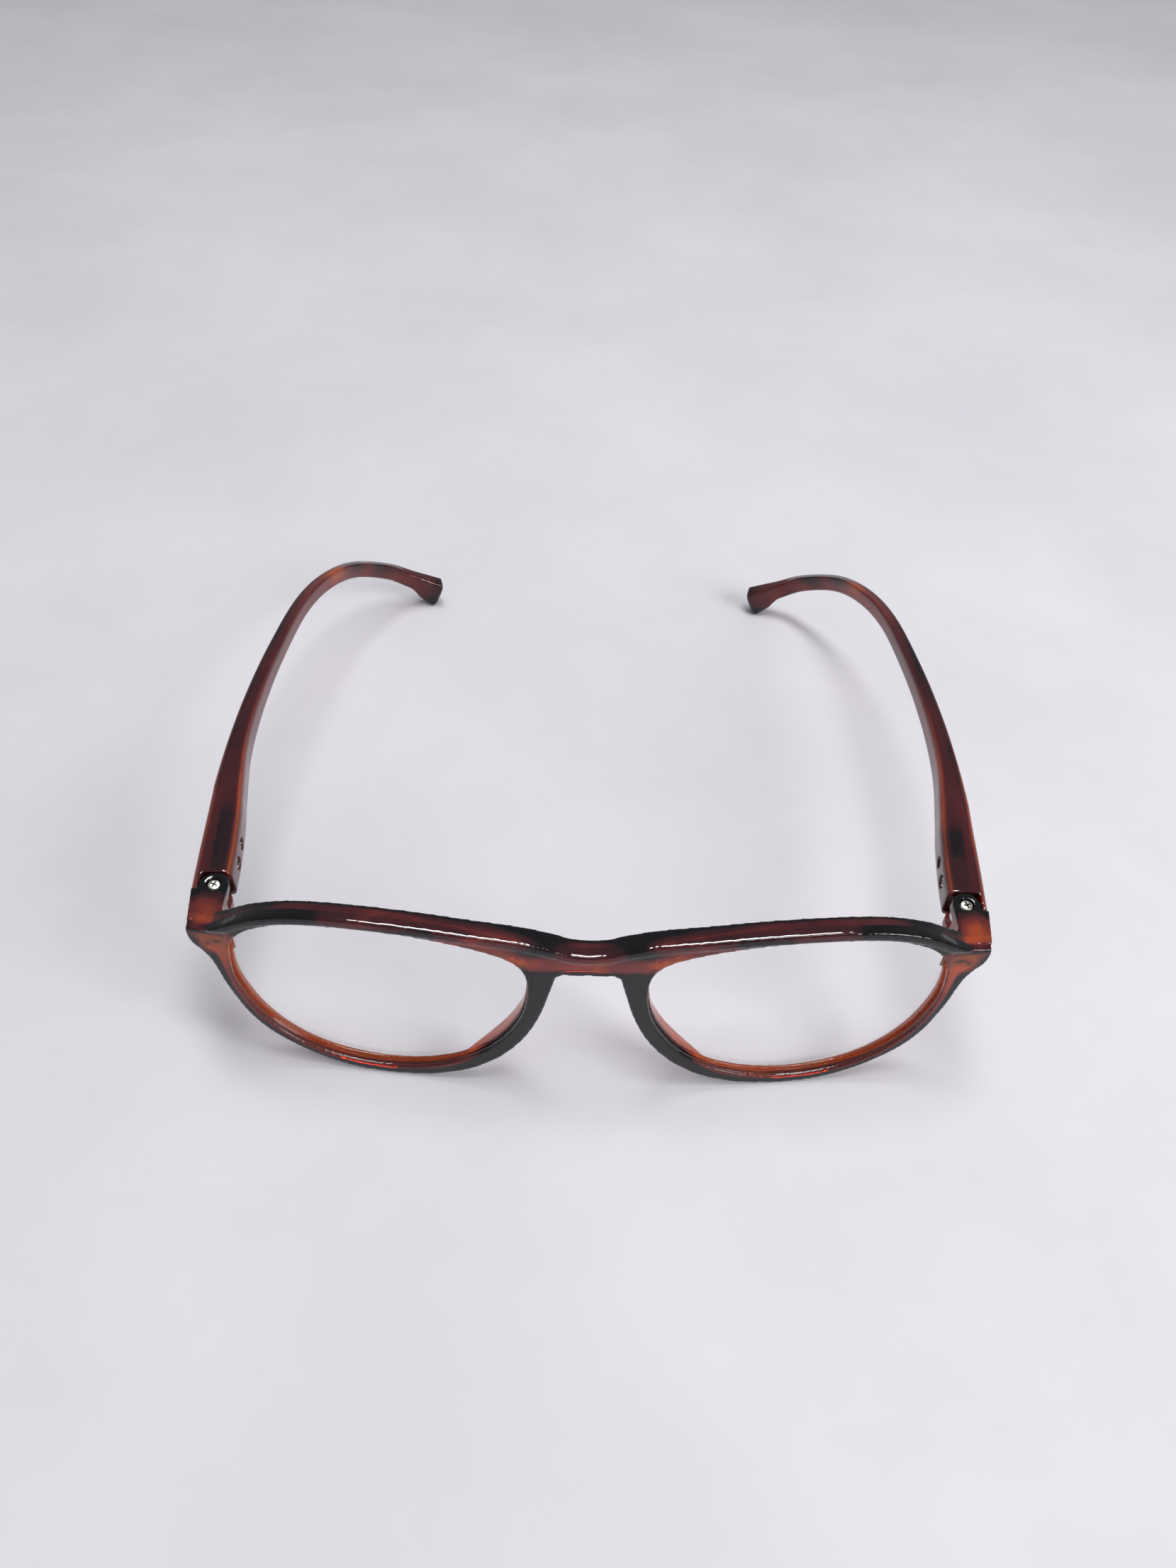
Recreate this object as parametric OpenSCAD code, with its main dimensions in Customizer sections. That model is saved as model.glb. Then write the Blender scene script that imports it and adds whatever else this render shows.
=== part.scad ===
// Full-rim spectacles with two spring-loaded temples.
// Millimetres. +Y runs from the front back to the ear ends, +Z is up, and the origin is the middle of
// the footprint on the surface that the spectacles stand on.

/* [Front] */
// Width of the front across both end-pieces
front_width = 141; // [134:0.2:146]
// Height of the front from the lowest rim to the top of the brow
front_height = 42; // [40:0.2:46]
// Depth of the rims beside the bridge
rim_depth = 2.7; // [2.4:0.1:3.2]
// How much deeper the front gets toward the end-pieces
rim_growth = 1.4; // [0.6:0.1:1.8]
// Depth of the brow bar and bridge
brow_depth = 3.6; // [3.2:0.1:4.2]
// Height of the raised moulding along the brow
brow_bar = 1.8; // [1.2:0.1:2.2]
// How far the raised moulding stands forward of the rim
brow_proud = 0.5; // [0.2:0.05:0.6]
// How far the end-pieces sit behind the bridge because of the face curve
wrap = 6; // [4:0.5:9]
// Tilt of the front, lower edge forward
front_lean = 6; // [0:0.5:8]

/* [Lenses] */
// Thickness of each lens
lens_thickness = 1.3; // [1:0.1:2]
// Radius of the lens curve
lens_radius = 240; // [200:10:400]
// Depth of the groove that holds the lens edge
groove_depth = 0.6; // [0.4:0.05:0.8]
// How much further in the rim's rear lip reaches than its front edge
rear_lip = 0.3; // [0:0.1:0.8]

/* [Hinges] */
// Distance of each hinge screw from the middle
hinge_x = 67.7; // [66:0.1:69]
// Height of the middle of the hinge
hinge_z = 31; // [30:0.1:32]
// Sideways tilt of both hinge screws, so that the folded temples pass over each other
hinge_tilt = 2.8; // [2.6:0.1:3.2]
// Height of the hinge lug
lug_height = 7; // [6.6:0.1:7.4]
// Radius of the rounded hinge tongue
tongue_radius = 2.6; // [2.4:0.1:2.7]
// Thickness of the link eyelet between the two ears
eyelet_thickness = 2.5; // [2:0.1:3]
// Radius of the hinge screw's shank
screw_radius = 0.7; // [0.6:0.05:0.8]

/* [Temples] */
// Width of the temple beside the hinge
temple_root_width = 7; // [6.6:0.1:7.4]
// Outward splay of the temple's root
temple_splay = 5; // [3:0.5:6]
// Travel of the spring that pulls the temple against the front
flex_travel = 1; // [0.6:0.1:1.2]
// Outer radius of the flex spring
spring_radius = 1.3; // [1.1:0.05:1.4]
// Turns of the flex spring
spring_turns = 8; // [5:1:10]

/* [Hidden] */
$fn = 48;

left = -1;
right = 1;
footprint_y = 65.52;    // middle of the footprint, measured from the hinge frame's origin
hinge_y = 10.5;         // hinge screw, measured from the same origin
bridge_y = -5;          // foremost point of the bridge at the height of the end-piece tops
end_top_z = 34.5;       // height of the end-piece tops
fit = 0.06;             // running clearance of the hinge parts
seat = 0.04;            // clearance of the lens in its groove and of the guide block in its cavity
lens_inset = 0.4;       // the lens middle's distance behind the face curve
eps = 0.01;
half = front_width / 2;
wrap_radius = half * half / (2 * wrap);
rim_back_radius = half * half / (2 * (wrap + rim_growth));
tortoise = [0.42, 0.14, 0.09];
clear_lens = [0.86, 0.9, 0.92, 0.35];
steel = [0.75, 0.75, 0.77];
brass = [0.78, 0.63, 0.35];

// Outline points are written for a front 141 wide and 42 high, then stretched to the chosen size.
x_scale = front_width / 141;
z_scale = front_height / 42;
function stretch(points) = [for (p = points) [p[0] * x_scale, p[1] * z_scale]];

// Catmull-Rom curves through hand-placed points; they work on points of any length.
function curve_at(a, b, c, d, t) =
    0.5 * (2 * b + (c - a) * t + (2 * a - 5 * b + 4 * c - d) * t * t + (3 * b - a - 3 * c + d) * t * t * t);
function open_curve(p, steps) = let (last = len(p) - 1) concat(
    [for (i = [0 : last - 1], k = [0 : steps - 1])
        curve_at(p[max(i - 1, 0)], p[i], p[i + 1], p[min(i + 2, last)], k / steps)],
    [p[last]]);
function closed_curve(p, steps) = let (n = len(p))
    [for (i = [0 : n - 1], k = [0 : steps - 1])
        curve_at(p[(i + n - 1) % n], p[i], p[(i + 1) % n], p[(i + 2) % n], k / steps)];
function reversed(p) = [for (i = [len(p) - 1 : -1 : 0]) p[i]];
function mirrored(p) = [for (q = reversed(p)) [-q[0], q[1]]];

// Right half of the front's outline, seen from the front: under the bridge, round the rim, over the brow.
under_bridge = [[0, 31.7], [4.5, 31.6]];
rim_edge = open_curve([[5.7, 30.9], [6.9, 26], [8.4, 20.3], [10.9, 14.2], [14.5, 8.9], [18.8, 4.9], [23.3, 2.4],
    [28.4, 0.7], [34, 0.1], [39, 0.1], [44.5, 0.8], [50, 2.7], [54.6, 5.2], [59, 8.6], [62, 12.4], [64, 16.4],
    [65.5, 20.6], [66.3, 23.9], [67.1, 26.7], [68.3, 28.8], [69.9, 30.6], [70.5, 32.5]], 3);
end_top = [[70.5, end_top_z], [68.6, end_top_z]];
brow_edge = open_curve([[66.4, 35.0], [63.2, 36.7], [59.4, 38.9], [55.4, 40.4], [50.6, 41.5], [44.5, 42],
    [36, 41.9], [28, 41.4], [20, 40.5], [12.4, 39.6], [6.8, 38.3], [3.4, 37.1], [0, 36.7]], 3);
half_outline = concat(under_bridge, rim_edge, end_top, brow_edge);
front_outline = stretch(concat(half_outline, mirrored(half_outline)));

// The moulding along the brow thins out to a point beside each end-piece.
moulding_end = 67.2;
moulding_taper = 4;
moulding_bottom = [for (p = brow_edge)
    [p[0], p[1] - brow_bar * min(1, (moulding_end - p[0]) / moulding_taper)]];
brow_outline = stretch(concat(brow_edge, mirrored(brow_edge),
    reversed(concat(moulding_bottom, mirrored(moulding_bottom)))));

// Right lens opening, seen from the front, and the middle that the lens edge is stretched from.
opening = [[60.9, 34.7], [57, 37.2], [51.6, 38.9], [43.6, 39.6], [34.8, 39.5], [27.4, 38.7], [20.4, 37.2],
    [15, 35.3], [11.9, 32.9], [10.6, 29.4], [10.6, 24.2], [11.6, 19.4], [13.8, 14.7], [17.1, 10.2], [21.2, 6.6],
    [26, 4.0], [32, 2.3], [38.6, 1.9], [45.2, 2.8], [51.2, 4.9], [56, 8.1], [59.8, 12.4], [62.3, 17.4],
    [63.6, 22.2], [63.7, 27], [63, 31.4]];
lens_middle = [37.2, 20.8];
lens_half_width = 26.5;
lens_half_height = 18.8;
function grown(points, by) = [for (p = points) [
    lens_middle[0] + (p[0] - lens_middle[0]) * (1 + by / lens_half_width),
    lens_middle[1] + (p[1] - lens_middle[1]) * (1 + by / lens_half_height)]];
function lens_outline(by) = stretch(closed_curve(grown(opening, by), 3));

// ---------------------------------------------------------------- placing

module in_place() { translate([0, -footprint_y, 0]) children(); }

// Lift that puts the lowest edge of the leaning front on the surface.
lowest_x = 36.5;
lowest_depth = rim_depth + (wrap + rim_growth) * pow(lowest_x / half, 2);
front_lift = lowest_depth * sin(front_lean) - end_top_z * (1 - cos(front_lean));

// The front's own frame: x across, y back from the bridge, z up along the leaning front.
module on_front() {
    translate([0, bridge_y, end_top_z + front_lift]) rotate([-front_lean, 0, 0])
        translate([0, 0, -end_top_z]) children();
}

// The hinge's own frame: x outward, y back, z along the screw, origin in the middle of the eyelet.
module on_hinge(side) {
    translate([side * hinge_x, hinge_y, hinge_z]) rotate([0, hinge_tilt, 0])
        mirror([side == left ? 1 : 0, 0, 0]) children();
}

// The temple's root runs slightly outward from the hinge, and so does everything inside it.
module splayed() { rotate([0, 0, -temple_splay]) children(); }

module on_link(side) { on_hinge(side) splayed() children(); }

module on_side(side) { mirror([side == left ? 1 : 0, 0, 0]) children(); }

module through(points, from_y, to_y) {
    translate([0, to_y, 0]) rotate([90, 0, 0]) linear_extrude(to_y - from_y) polygon(points);
}

module block(low, high) { translate(low) cube(high - low); }

// Rod of radius r from one point on the y axis to another.
module rod(r, from_y, to_y) { translate([0, from_y, 0]) rotate([-90, 0, 0]) cylinder(r = r, h = to_y - from_y); }

// ---------------------------------------------------------------- front

shell_span = 80;

// Tall cylinder whose foremost line is at the given depth behind the bridge.
module column(radius, depth, extra) {
    translate([0, radius + depth, -shell_span / 4 - extra])
        cylinder(r = radius, h = shell_span + 2 * extra, $fn = 360);
}

module face_shell(from_depth, to_depth) {
    difference() {
        column(wrap_radius - from_depth, from_depth, 0);
        column(wrap_radius - to_depth, to_depth, 1);
    }
}

module rim_shell() {
    difference() {
        column(wrap_radius, 0, 0);
        column(rim_back_radius, rim_depth, 1);
    }
}

// Curved sheet that both the lens and its groove are cut from, square to the front at the lens middle.
module lens_shell(from_inset, to_inset) {
    turn = asin(lens_middle[0] * x_scale / wrap_radius);
    to_centre = wrap_radius - lens_radius;
    translate([sin(turn) * to_centre, wrap_radius - cos(turn) * to_centre, lens_middle[1] * z_scale]) difference() {
        sphere(r = lens_radius - from_inset, $fn = 200);
        sphere(r = lens_radius - to_inset, $fn = 200);
    }
}

module lens_solid(by, gap) {
    intersection() {
        through(lens_outline(by), -3, 14);
        lens_shell(lens_inset - gap, lens_inset + lens_thickness + gap);
    }
}

lug_top = lug_height / 2;
slot_half = eyelet_thickness / 2 + fit;
slot_front = -2.2;
shoulder_y = -1.1;
lug_inner = -tongue_radius;
lug_outer = 3.8;

module lug() {
    translate([0, 0, -lug_top]) linear_extrude(lug_height) union() {
        circle(r = tongue_radius);
        polygon([[lug_inner, 0], [lug_inner, -5], [-3.6, -7], [-5.1, -8.2], [2.85, -8.2], [lug_outer, shoulder_y],
            [tongue_radius, shoulder_y], [tongue_radius, 0]]);
    }
}

head_radius = 1.1;
head_height = 0.85;
counterbore_radius = 1.32;
counterbore_depth = 1;
insert_radius = 1.25;
insert_length = 1.6;
insert_base = 0.2;

module lug_cuts() {
    block([-9, slot_front, -slot_half], [9, 9, slot_half]);
    cylinder(r = screw_radius + fit, h = lug_height + 2, center = true);
    translate([0, 0, lug_top - counterbore_depth]) cylinder(r = counterbore_radius, h = counterbore_depth + 1);
    translate([0, 0, -lug_top - 1]) cylinder(r = insert_radius, h = 1 + insert_base + insert_length);
}

// Moulded nose pad: a fin behind the nasal rim that runs out below into the rim's rear face.
module nose_pad() {
    top = [[8.4, 1.7, 25.4], [10.6, 3.5, 25]];
    middle = [[10.1, 1.7, 18.4], [12.6, 4.4, 17.4]];
    bottom = [[14.3, 1.7, 11], [16.2, 4.5, 10.8]];
    end = [[23.6, 1.8, 4.4]];
    pad_part(concat(top, middle, bottom));
    pad_part(concat(bottom, [[18.9, 1.7, 7], [19.4, 3.7, 8.1]], end));
}

module pad_part(points) hull() for (p = points) translate(p) sphere(r = 0.8, $fn = 24);

module front_frame() color(tortoise) in_place() difference() {
    union() {
        on_front() difference() {
            union() {
                intersection() {
                    through(front_outline, -3, 14);
                    rim_shell();
                }
                intersection() {
                    through(brow_outline, -3, 14);
                    face_shell(-brow_proud, brow_depth);
                }
                for (side = [left, right]) on_side(side) nose_pad();
            }
            for (side = [left, right]) on_side(side) {
                through(lens_outline(-rear_lip), -3, 14);
                intersection() {
                    through(lens_outline(0), -3, 14);
                    face_shell(-2, rim_depth / 2);
                }
                lens_solid(groove_depth, seat);
            }
        }
        for (side = [left, right]) on_hinge(side) lug();
    }
    for (side = [left, right]) on_hinge(side) lug_cuts();
}

module lens(side) color(clear_lens) in_place() on_front() on_side(side)
    lens_solid(groove_depth - seat, 0);

// ---------------------------------------------------------------- temples

// The temple's upper outer edge from the hinge to the ear end: x, y, z, then the width and height there.
temple_edge = [
    [71.6, 8.0, 34.5, temple_root_width - 0.2, 7.0],
    [72.4, 18, 34.5, temple_root_width, 7.0],
    [73.1, 28, 34.4, 6.5, 6.8],
    [73.6, 36, 34.3, 5.6, 6.4],
    [73.7, 48, 34.1, 4.1, 5.7],
    [73.2, 62, 33.8, 3.4, 4.9],
    [71.9, 78, 33.1, 3.0, 4.3],
    [69.8, 97, 31.1, 2.8, 3.8],
    [66.7, 112, 27.3, 2.8, 3.6],
    [62.0, 124.6, 21.7, 2.8, 3.6],
    [54.7, 134.2, 14.4, 2.9, 3.8],
    [48.8, 137.2, 10, 3.1, 4.1],
    [45.6, 138.2, 8.3, 3.6, 6.0],
    [42.1, 138.9, 6.7, 4.0, 7.35]];
tip_steps = [[0.94, 0.4], [0.78, 0.8], [0.5, 1.05]];    // scale and advance of the rings that round the ear end
temple_rings = open_curve(temple_edge, 4);
ring_sides = 16;
corner_power = 0.38;
function squared(v) = sign(v) * pow(abs(v), corner_power);
function unit(v) = v / norm(v);
function xyz(p) = [p[0], p[1], p[2]];

// One ring of the temple: a squared oval that hangs inward and down from the outer upper edge.
function temple_ring(i) = let (
    last = len(temple_rings) - 1,
    here = temple_rings[i],
    along = unit(xyz(temple_rings[min(i + 1, last)]) - xyz(temple_rings[max(i - 1, 0)])),
    flat = unit([along[0], along[1], 0]),
    out = [flat[1], -flat[0], 0],
    up = cross(out, along),
    middle = xyz(here) - out * here[3] / 2 - up * here[4] / 2)
    [for (k = [0 : ring_sides - 1]) let (a = (k + 0.5) * 360 / ring_sides)
        middle + out * squared(cos(a)) * here[3] / 2 + up * squared(sin(a)) * here[4] / 2];

// Skin over a stack of rings, closed at both ends.
module skin(rings, sides) {
    n = len(rings);
    points = [for (r = rings) each r];
    walls = [for (i = [0 : n - 2], k = [0 : sides - 1]) let (m = (k + 1) % sides)
        each [[i * sides + k, i * sides + m, (i + 1) * sides + m],
              [i * sides + k, (i + 1) * sides + m, (i + 1) * sides + k]]];
    ends = [[for (k = [sides - 1 : -1 : 0]) k], [for (k = [0 : sides - 1]) (n - 1) * sides + k]];
    polyhedron(points, concat(walls, ends));
}

butt_y = 2.75;
cheek_x = 2.75;
cheek_front = -1;
cavity_half = 1.65;
cavity_end = 18.6;
block_front = 6.4;
block_back = 8.6;
block_half = cavity_half - seat;
retainer_y = (block_front + block_back) / 2;
retainer_radius = 0.5;
retainer_head = 0.95;
retainer_seat_radius = 1.3;
retainer_seat = 2.2;
retainer_head_height = 0.5;
retainer_tip = 0.8;
retainer_length = retainer_seat + retainer_head_height - retainer_tip;
recess_y = 12.2;
recess_floor = 2.2;
recess_radius = 1.2;

module temple_cuts() {
    block([-12, -12, -12], [cheek_x, butt_y, 12]);
    block([cheek_x - eps, -12, -12], [12, cheek_front, 12]);
    splayed() {
        block([-cavity_half, butt_y - 1, -cavity_half], [cavity_half, cavity_end, cavity_half]);
        translate([0, retainer_y, 0]) rotate([0, -90, 0]) {
            cylinder(r = retainer_radius + fit, h = 8);
            translate([0, 0, retainer_seat]) cylinder(r = retainer_seat_radius, h = 6);
        }
        translate([-recess_floor, recess_y, 0]) rotate([0, -90, 0]) cylinder(r = recess_radius, h = 3);
    }
}

function middle_of(ring) = [for (p = ring) 1 / len(ring)] * ring;

module temple_body() {
    rings = [for (i = [0 : len(temple_rings) - 1]) temple_ring(i)];
    last = rings[len(rings) - 1];
    middle = middle_of(last);
    along = unit(middle - middle_of(rings[len(rings) - 2]));
    tip = [for (s = tip_steps) [for (p = last) middle + (p - middle) * s[0] + along * s[1]]];
    skin(concat(rings, tip), ring_sides);
}

module temple(side) color(tortoise) in_place() difference() {
    on_side(side) temple_body();
    on_hinge(side) temple_cuts();
}

// ---------------------------------------------------------------- hinge and spring hardware

eyelet_radius = 2;
shank_half = 1;
shank_end = 5.2;
rod_radius = 0.55;
rod_end = 17;
nut_front = 15.8;
nut_radius = 1.1;

module hinge_link(side) color(steel) in_place() on_link(side) difference() {
    union() {
        cylinder(r = eyelet_radius, h = eyelet_thickness, center = true);
        block([-shank_half, 0, -eyelet_thickness / 2], [shank_half, shank_end, eyelet_thickness / 2]);
        rod(rod_radius, shank_end - eps, rod_end);
    }
    cylinder(r = screw_radius + fit, h = eyelet_thickness + 2, center = true);
}

module rod_nut(side) color(steel) in_place() on_link(side) difference() {
    rod(nut_radius, nut_front, rod_end - 0.2);
    rod(rod_radius, nut_front - 1, rod_end + 1);
}

// The spring's coil, drawn at its fully compressed length, from the guide block's travel to the nut.
wire_radius = 0.2;
spring_front = block_back + flex_travel + 0.1;
spring_back = nut_front;
turn_steps = 12;
wire_sides = 6;
function coil_ring(i) = let (
    mean = spring_radius - wire_radius,
    rise = (spring_back - spring_front - 2 * wire_radius - 2 * eps) / (spring_turns * turn_steps),
    turn = i * 360 / turn_steps,
    radial = [cos(turn), 0, sin(turn)])
    [for (k = [0 : wire_sides - 1]) let (a = -k * 360 / wire_sides)
        radial * (mean + wire_radius * cos(a))
        + [0, spring_front + wire_radius + eps + i * rise + wire_radius * sin(a), 0]];

module flex_spring(side) color(steel) in_place() on_link(side)
    skin([for (i = [0 : spring_turns * turn_steps]) coil_ring(i)], wire_sides);

module guide_block(side) color(steel) in_place() on_link(side) difference() {
    block([-block_half, block_front, -block_half], [block_half, block_back, block_half]);
    rod(rod_radius + fit, block_front - 1, block_back + 1);
    translate([-retainer_tip, retainer_y, 0]) rotate([0, -90, 0]) cylinder(r = retainer_radius, h = 4);
}

// A cross-recessed head, top down: the head's top is at z = 0 and the shank points along -z.
module cross_screw(head_r, head_h, shank_r, length) {
    slot = head_r * 1.3;
    difference() {
        union() {
            translate([0, 0, -head_h]) cylinder(r = head_r, h = head_h);
            translate([0, 0, -length]) cylinder(r = shank_r, h = length - head_h + eps);
        }
        for (turn = [0, 90]) rotate([0, 0, turn])
            translate([-slot / 2, -head_r * 0.14, -head_h * 0.5]) cube([slot, head_r * 0.28, head_h]);
    }
}

module retaining_screw(side) color(steel) in_place() on_link(side)
    translate([-retainer_seat - retainer_head_height, retainer_y, 0]) rotate([0, -90, 0])
        cross_screw(retainer_head, retainer_head_height, retainer_radius, retainer_length);

module hinge_screw(side) color(steel) in_place() on_hinge(side)
    translate([0, 0, lug_top - counterbore_depth + head_height])
        cross_screw(head_radius, head_height, screw_radius, 6.2);

module hinge_insert(side) color(brass) in_place() on_hinge(side) difference() {
    translate([0, 0, -lug_top + insert_base]) cylinder(r = insert_radius, h = insert_length);
    cylinder(r = screw_radius, h = 20, center = true);
}

front_frame();
lens(left);  // lens_left
lens(right);  // lens_right
temple(left);  // temple_left
temple(right);  // temple_right
hinge_link(left);  // hinge_link_left
hinge_link(right);  // hinge_link_right
flex_spring(left);  // flex_spring_left
flex_spring(right);  // flex_spring_right
rod_nut(left);  // rod_nut_left
rod_nut(right);  // rod_nut_right
guide_block(left);  // guide_block_left
guide_block(right);  // guide_block_right
retaining_screw(left);  // retaining_screw_left
retaining_screw(right);  // retaining_screw_right
hinge_screw(left);  // hinge_screw_left
hinge_screw(right);  // hinge_screw_right
hinge_insert(left);  // hinge_insert_left
hinge_insert(right);  // hinge_insert_right
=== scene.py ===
"""Spectacles in translucent tortoise plastic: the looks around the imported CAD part.

Shapes are worked out in millimetres in the part's own frame, and finished() turns them into metres.
"""

import math

import bmesh
import bpy
import numpy as np
from mathutils import Matrix, Vector


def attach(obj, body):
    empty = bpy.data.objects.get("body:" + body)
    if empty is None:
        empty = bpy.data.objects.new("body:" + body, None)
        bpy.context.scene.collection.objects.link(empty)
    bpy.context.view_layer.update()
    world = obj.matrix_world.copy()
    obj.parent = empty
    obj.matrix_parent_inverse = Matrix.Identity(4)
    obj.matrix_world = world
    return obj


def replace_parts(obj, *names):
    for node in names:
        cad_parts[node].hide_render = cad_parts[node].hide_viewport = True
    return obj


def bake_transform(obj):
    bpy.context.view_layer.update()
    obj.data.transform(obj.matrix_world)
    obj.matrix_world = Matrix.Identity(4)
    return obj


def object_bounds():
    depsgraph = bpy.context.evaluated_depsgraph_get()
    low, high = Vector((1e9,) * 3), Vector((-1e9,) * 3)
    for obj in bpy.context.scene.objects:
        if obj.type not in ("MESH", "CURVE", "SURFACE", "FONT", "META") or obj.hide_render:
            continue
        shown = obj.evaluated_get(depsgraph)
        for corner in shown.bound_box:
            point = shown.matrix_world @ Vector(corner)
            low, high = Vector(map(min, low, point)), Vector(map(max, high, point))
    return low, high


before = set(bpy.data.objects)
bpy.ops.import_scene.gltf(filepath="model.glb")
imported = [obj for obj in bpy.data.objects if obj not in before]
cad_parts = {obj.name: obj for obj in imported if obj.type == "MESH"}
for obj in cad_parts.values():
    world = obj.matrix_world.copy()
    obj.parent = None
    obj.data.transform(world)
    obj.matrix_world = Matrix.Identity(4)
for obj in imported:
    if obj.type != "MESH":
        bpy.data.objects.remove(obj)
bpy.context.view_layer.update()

MM = 0.001
SIDES = (("left", -1), ("right", 1))

# Depths are measured from a zero just behind the bridge, and the frame's origin is this far behind that zero.
FOOTPRINT_Y = 65.52

# The front has its own frame: x across, y back from the bridge, z up along the leaning front. It leans about
# a line at the height of the end-piece tops, with the lower edge forward.
BRIDGE_Y = -5.0
END_TOP = 34.5
FRONT_LIFT = 0.3
FRONT_LEAN = math.radians(6)
FRONT_PIVOT = np.array([0, BRIDGE_Y - FOOTPRINT_Y, END_TOP + FRONT_LIFT])
WRAP_RADIUS = 414.2

# Each hinge has its own frame: x outward, y back, z along the screw.
HINGE = (67.7, 10.5 - FOOTPRINT_Y, 31.0)
HINGE_TILT = math.radians(2.8)
TEMPLE_SPLAY = math.radians(5)

# Cell size of the moulded surfaces, and how far they are moved back out after smoothing.
VOXEL = 0.2
GROWTH = 0.11


# ---------------------------------------------------------------- mesh helpers


def add(name, verts, faces):
    mesh = bpy.data.meshes.new(name)
    mesh.from_pydata([tuple(v) for v in verts], [], [tuple(f) for f in faces])
    mesh.validate()
    piece = bpy.data.objects.new(name, mesh)
    bpy.context.scene.collection.objects.link(piece)
    return piece


def remove(piece):
    bpy.data.objects.remove(piece, do_unlink=True)


def apply_modifiers(piece):
    graph = bpy.context.evaluated_depsgraph_get()
    mesh = bpy.data.meshes.new_from_object(piece.evaluated_get(graph))
    piece.modifiers.clear()
    piece.data = mesh


def points_of(piece):
    co = np.empty(len(piece.data.vertices) * 3)
    piece.data.vertices.foreach_get("co", co)
    return co.reshape(-1, 3)


def set_points(piece, points):
    piece.data.vertices.foreach_set("co", np.asarray(points, float).ravel())
    piece.data.update()


def placed(piece, matrix):
    """Moves the piece's points, and turns its faces round again if the matrix mirrors them."""
    piece.data.transform(matrix)
    if matrix.determinant() < 0:
        piece.data.flip_normals()
    return piece


def cut(piece, tools):
    """Takes the tools' shapes out of the piece."""
    for tool in tools:
        step = piece.modifiers.new("cut", "BOOLEAN")
        step.operation = "DIFFERENCE"
        step.solver = "EXACT"
        step.object = tool
    apply_modifiers(piece)
    for tool in tools:
        remove(tool)
    return piece


def moulded(piece, rounds):
    """Gives a sharp-edged solid the even surface and softened edges of a moulding."""
    step = piece.modifiers.new("skin", "REMESH")
    step.mode = "VOXEL"
    step.voxel_size = VOXEL
    step.use_smooth_shade = True
    ease = piece.modifiers.new("ease", "SMOOTH")
    ease.factor = 0.5
    ease.iterations = rounds
    apply_modifiers(piece)
    return piece


def grown(piece, amount):
    """Moves each point outward by its own amount, to make up for what smoothing took off."""
    normals = np.empty(len(piece.data.vertices) * 3)
    piece.data.vertices.foreach_get("normal", normals)
    set_points(piece, points_of(piece) + normals.reshape(-1, 3) * amount[:, None])
    return piece


def rounded(piece, where, rounds):
    """Smooths the piece further, by the weight given for each point, in steps of a quarter."""
    group = piece.vertex_groups.new(name="rounded")
    step = 0.25
    for level in np.arange(step, 1 + step, step):
        chosen = np.nonzero(where > level - step / 2)[0]
        group.add([int(i) for i in chosen], level, "REPLACE")
    ease = piece.modifiers.new("round", "SMOOTH")
    ease.factor = 0.5
    ease.iterations = rounds
    ease.vertex_group = group.name
    apply_modifiers(piece)
    piece.vertex_groups.clear()
    return piece


def finished(piece, material, body, angle=None):
    """Turns millimetres into metres, and sets the material, the slot and, unless it bends, the body."""
    piece.data.transform(Matrix.Scale(MM, 4))
    for face in piece.data.polygons:
        face.use_smooth = True
    if angle is not None:
        piece.data.set_sharp_from_angle(angle=math.radians(angle))
    piece.data.materials.clear()
    piece.data.materials.append(material)
    if body is not None:
        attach(piece, body)
    return piece


def smooth_curve(points, steps, closed=False):
    """Catmull-Rom curve through the points, as rows."""
    p = np.asarray(points, float)
    n = len(p)
    if closed:
        ext = np.vstack([p[-1], p, p[0], p[1]])
        spans = n
    else:
        ext = np.vstack([2 * p[0] - p[1], p, 2 * p[-1] - p[-2]])
        spans = n - 1
    rows = []
    for i in range(spans):
        a, b, c, d = ext[i : i + 4]
        square, cube = 2 * a - 5 * b + 4 * c - d, 3 * b - a - 3 * c + d
        for k in range(steps):
            t = k / steps
            rows.append(0.5 * (2 * b + (c - a) * t + square * t**2 + cube * t**3))
    if not closed:
        rows.append(p[-1])
    return np.array(rows)


def skin(name, rings):
    """Skin over a stack of rings with the same number of points each, closed at both ends."""
    count, sides = len(rings), len(rings[0])
    faces = []
    for i in range(count - 1):
        for k in range(sides):
            m = (k + 1) % sides
            faces.append((i * sides + k, i * sides + m, (i + 1) * sides + m, (i + 1) * sides + k))
    faces.append(tuple(range(sides - 1, -1, -1)))
    faces.append(tuple((count - 1) * sides + k for k in range(sides)))
    piece = add(name, np.vstack(rings), faces)
    outward(piece)
    return piece


def outward(piece):
    """Turns every face to point out of the piece."""
    mesh = bmesh.new()
    mesh.from_mesh(piece.data)
    bmesh.ops.recalc_face_normals(mesh, faces=mesh.faces)
    mesh.to_mesh(piece.data)
    mesh.free()


def block(low, high):
    x, y, z = zip(low, high, strict=True)
    verts = [(x[i], y[j], z[k]) for i in (0, 1) for j in (0, 1) for k in (0, 1)]
    faces = [(0, 1, 3, 2), (4, 6, 7, 5), (0, 4, 5, 1), (2, 3, 7, 6), (0, 2, 6, 4), (1, 5, 7, 3)]
    return add("block", verts, faces)


def lathe(name, profile, sides=48):
    """Round solid about z. The profile is a list of (radius, z) from one end of the axis to the other."""
    turns = np.arange(sides) * 2 * math.pi / sides
    rings = [[(r * math.cos(a), r * math.sin(a), z) for a in turns] for r, z in profile]
    return skin(name, [np.array(r) for r in rings])


# ---------------------------------------------------------------- places


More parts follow.
